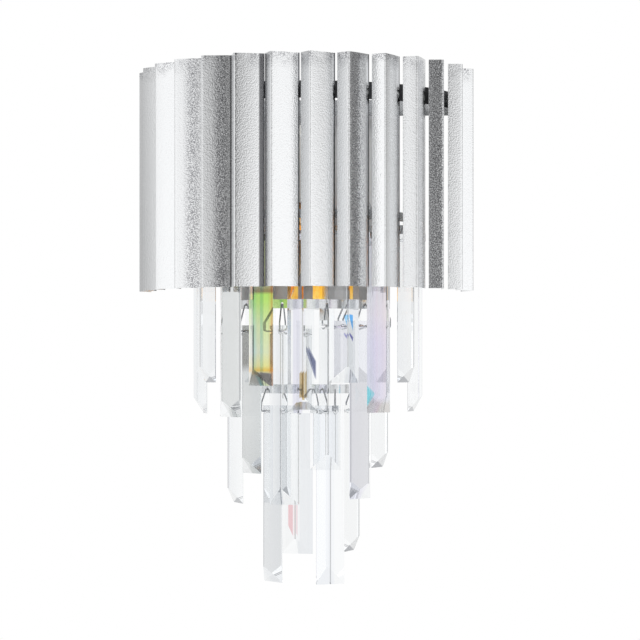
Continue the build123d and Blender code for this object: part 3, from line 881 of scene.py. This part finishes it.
class SCONCE_OT_hooks(bpy.types.Operator):
    """Finish the wire loops"""

    bl_idname = "sconce.hooks"
    bl_label = "Hooks"

    def execute(self, context):
        wire = grained_metal("hook_wire", context.scene.sconce_metals.wire, 0.22, 0.4 * MM, 0.005 * MM)
        for name in ("hooks_upper", "hooks_middle", "hooks_lower"):
            paint_node(name, wire)
        return {"FINISHED"}


class SCONCE_OT_wall_parts(bpy.types.Operator):
    """Finish the wall plate, the bracket and their fasteners"""

    bl_idname = "sconce.wall_parts"
    bl_label = "Wall parts"

    def execute(self, context):
        tints = context.scene.sconce_metals
        plate = enamel("plate_paint", tints.plate, 0.35)
        for name in ("wall_plate", "holder_arm"):
            paint_node(name, plate)
        zinc = grained_metal("zinc_bracket", tints.zinc, 0.38, 0.7 * MM, 0.012 * MM)
        for name in ("wall_bracket", "bracket_studs", "earth_screw"):
            paint_node(name, zinc)
        paint_node("cap_nuts", grained_metal("cap_nut_plating", tints.plated, 0.12, 0.5 * MM, 0.004 * MM))
        return {"FINISHED"}


class SCONCE_OT_lamp(bpy.types.Operator):
    """Finish the lamp-holder and the candle lamp"""

    bl_idname = "sconce.lamp"
    bl_label = "Lamp"

    def execute(self, context):
        tints = context.scene.sconce_lamp
        material, tree, shader, where = new_material("lamp_glass")
        slow = node(tree, "ShaderNodeTexNoise", {"Vector": where, "Scale": 30.0})
        paler = tuple(min(1.0, c * 1.08) for c in tints.amber)
        shade = ramp(tree, slow.outputs["Fac"], [(0.3, tuple(tints.amber)), (0.7, paler)])
        tree.links.new(shade, shader.inputs["Base Color"])
        shader.inputs["Transmission Weight"].default_value = 1.0
        shader.inputs["Roughness"].default_value = 0.02
        shader.inputs["IOR"].default_value = 1.5
        paint_node("lamp_glass", material)
        self.sticks(tints)
        paint_node("lamp_holder", enamel("holder_moulding", tints.moulding, 0.4))
        brass = context.scene.sconce_metals.brass
        paint_node("lamp_cap", grained_metal("lamp_cap_brass", brass, 0.3, 0.5 * MM, 0.008 * MM))
        return {"FINISHED"}

    def sticks(self, sizes):
        """The upright glowing sticks inside the glass."""
        low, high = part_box("lamp_glass")
        centre = ((low[0] + high[0]) / 2, (low[1] + high[1]) / 2)
        top, bottom = high[2] - sizes.above_sticks, low[2] + sizes.below_sticks
        radius = sizes.stick_width / 2
        tip, ease = 0.3 * radius, 0.35 * radius
        points, faces = lathe([(tip, bottom), (radius, bottom + ease), (radius, top - ease), (tip, top)], 16)
        sticks = new_piece("lamp_sticks", points, faces)
        glow, tree, shader, where = new_material("stick_glow")
        slow = node(tree, "ShaderNodeTexNoise", {"Vector": where, "Scale": 120.0})
        shade = ramp(tree, slow.outputs["Fac"], [(0.35, (1.0, 0.5, 0.04)), (0.65, (1.0, 0.66, 0.1))])
        tree.links.new(shade, shader.inputs["Base Color"])
        tree.links.new(shade, shader.inputs["Emission Color"])
        shader.inputs["Emission Strength"].default_value = sizes.glow
        shader.inputs["Roughness"].default_value = 0.5
        step = 2 * math.pi / sizes.stick_count
        repeat_round(sticks, glow, sizes.stick_count, sizes.first_stick, step, sizes.stick_ring, centre)
        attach(sticks, "root")


class SCONCE_OT_wiring(bpy.types.Operator):
    """Finish the terminal block and the leads"""

    bl_idname = "sconce.wiring"
    bl_label = "Wiring"

    def execute(self, context):
        tints = context.scene.sconce_wiring
        paint_node("terminal_block", enamel("terminal_moulding", tints.block, 0.5))
        paint_node("lead_live", enamel("brown_sheath", tints.live, 0.45))
        paint_node("lead_neutral", enamel("blue_sheath", tints.neutral, 0.45))
        return {"FINISHED"}


class SCONCE_PT_panel(bpy.types.Panel):
    """Lists the light's pieces"""

    bl_label = "Crystal wall sconce"
    bl_space_type = "VIEW_3D"
    bl_region_type = "UI"
    bl_category = "Sconce"

    def draw(self, context):
        for operator in OPERATORS:
            self.layout.operator(operator.bl_idname)


SETTINGS = (
    ("sconce_slats", SlatSettings),
    ("sconce_crystals", CrystalSettings),
    ("sconce_metals", MetalSettings),
    ("sconce_lamp", LampSettings),
    ("sconce_wiring", WiringSettings),
    ("sconce_stage", StageSettings),
)
OPERATORS = (
    SCONCE_OT_stage,
    SCONCE_OT_slats,
    SCONCE_OT_frame_strips,
    SCONCE_OT_crystals,
    SCONCE_OT_hooks,
    SCONCE_OT_wall_parts,
    SCONCE_OT_lamp,
    SCONCE_OT_wiring,
)
EFFECTS = (metal_grain_group, fine_scratches_group, crystal_place_group)


def register():
    """Make the settings, operators and panel known."""
    for name, kind in SETTINGS:
        bpy.utils.register_class(kind)
        setattr(bpy.types.Scene, name, PointerProperty(type=kind))
    for kind in OPERATORS + (SCONCE_PT_panel,):
        bpy.utils.register_class(kind)


def unregister():
    """Take them away again."""
    for kind in reversed(OPERATORS + (SCONCE_PT_panel,)):
        bpy.utils.unregister_class(kind)
    for name, kind in reversed(SETTINGS):
        delattr(bpy.types.Scene, name)
        bpy.utils.unregister_class(kind)


def main():
    """Build everything in order."""
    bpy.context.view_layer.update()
    register()
    for effect in EFFECTS:
        effect()
    for operator in OPERATORS:
        domain, name = operator.bl_idname.split(".")
        getattr(getattr(bpy.ops, domain), name)()


if __name__ == "__main__":
    main()
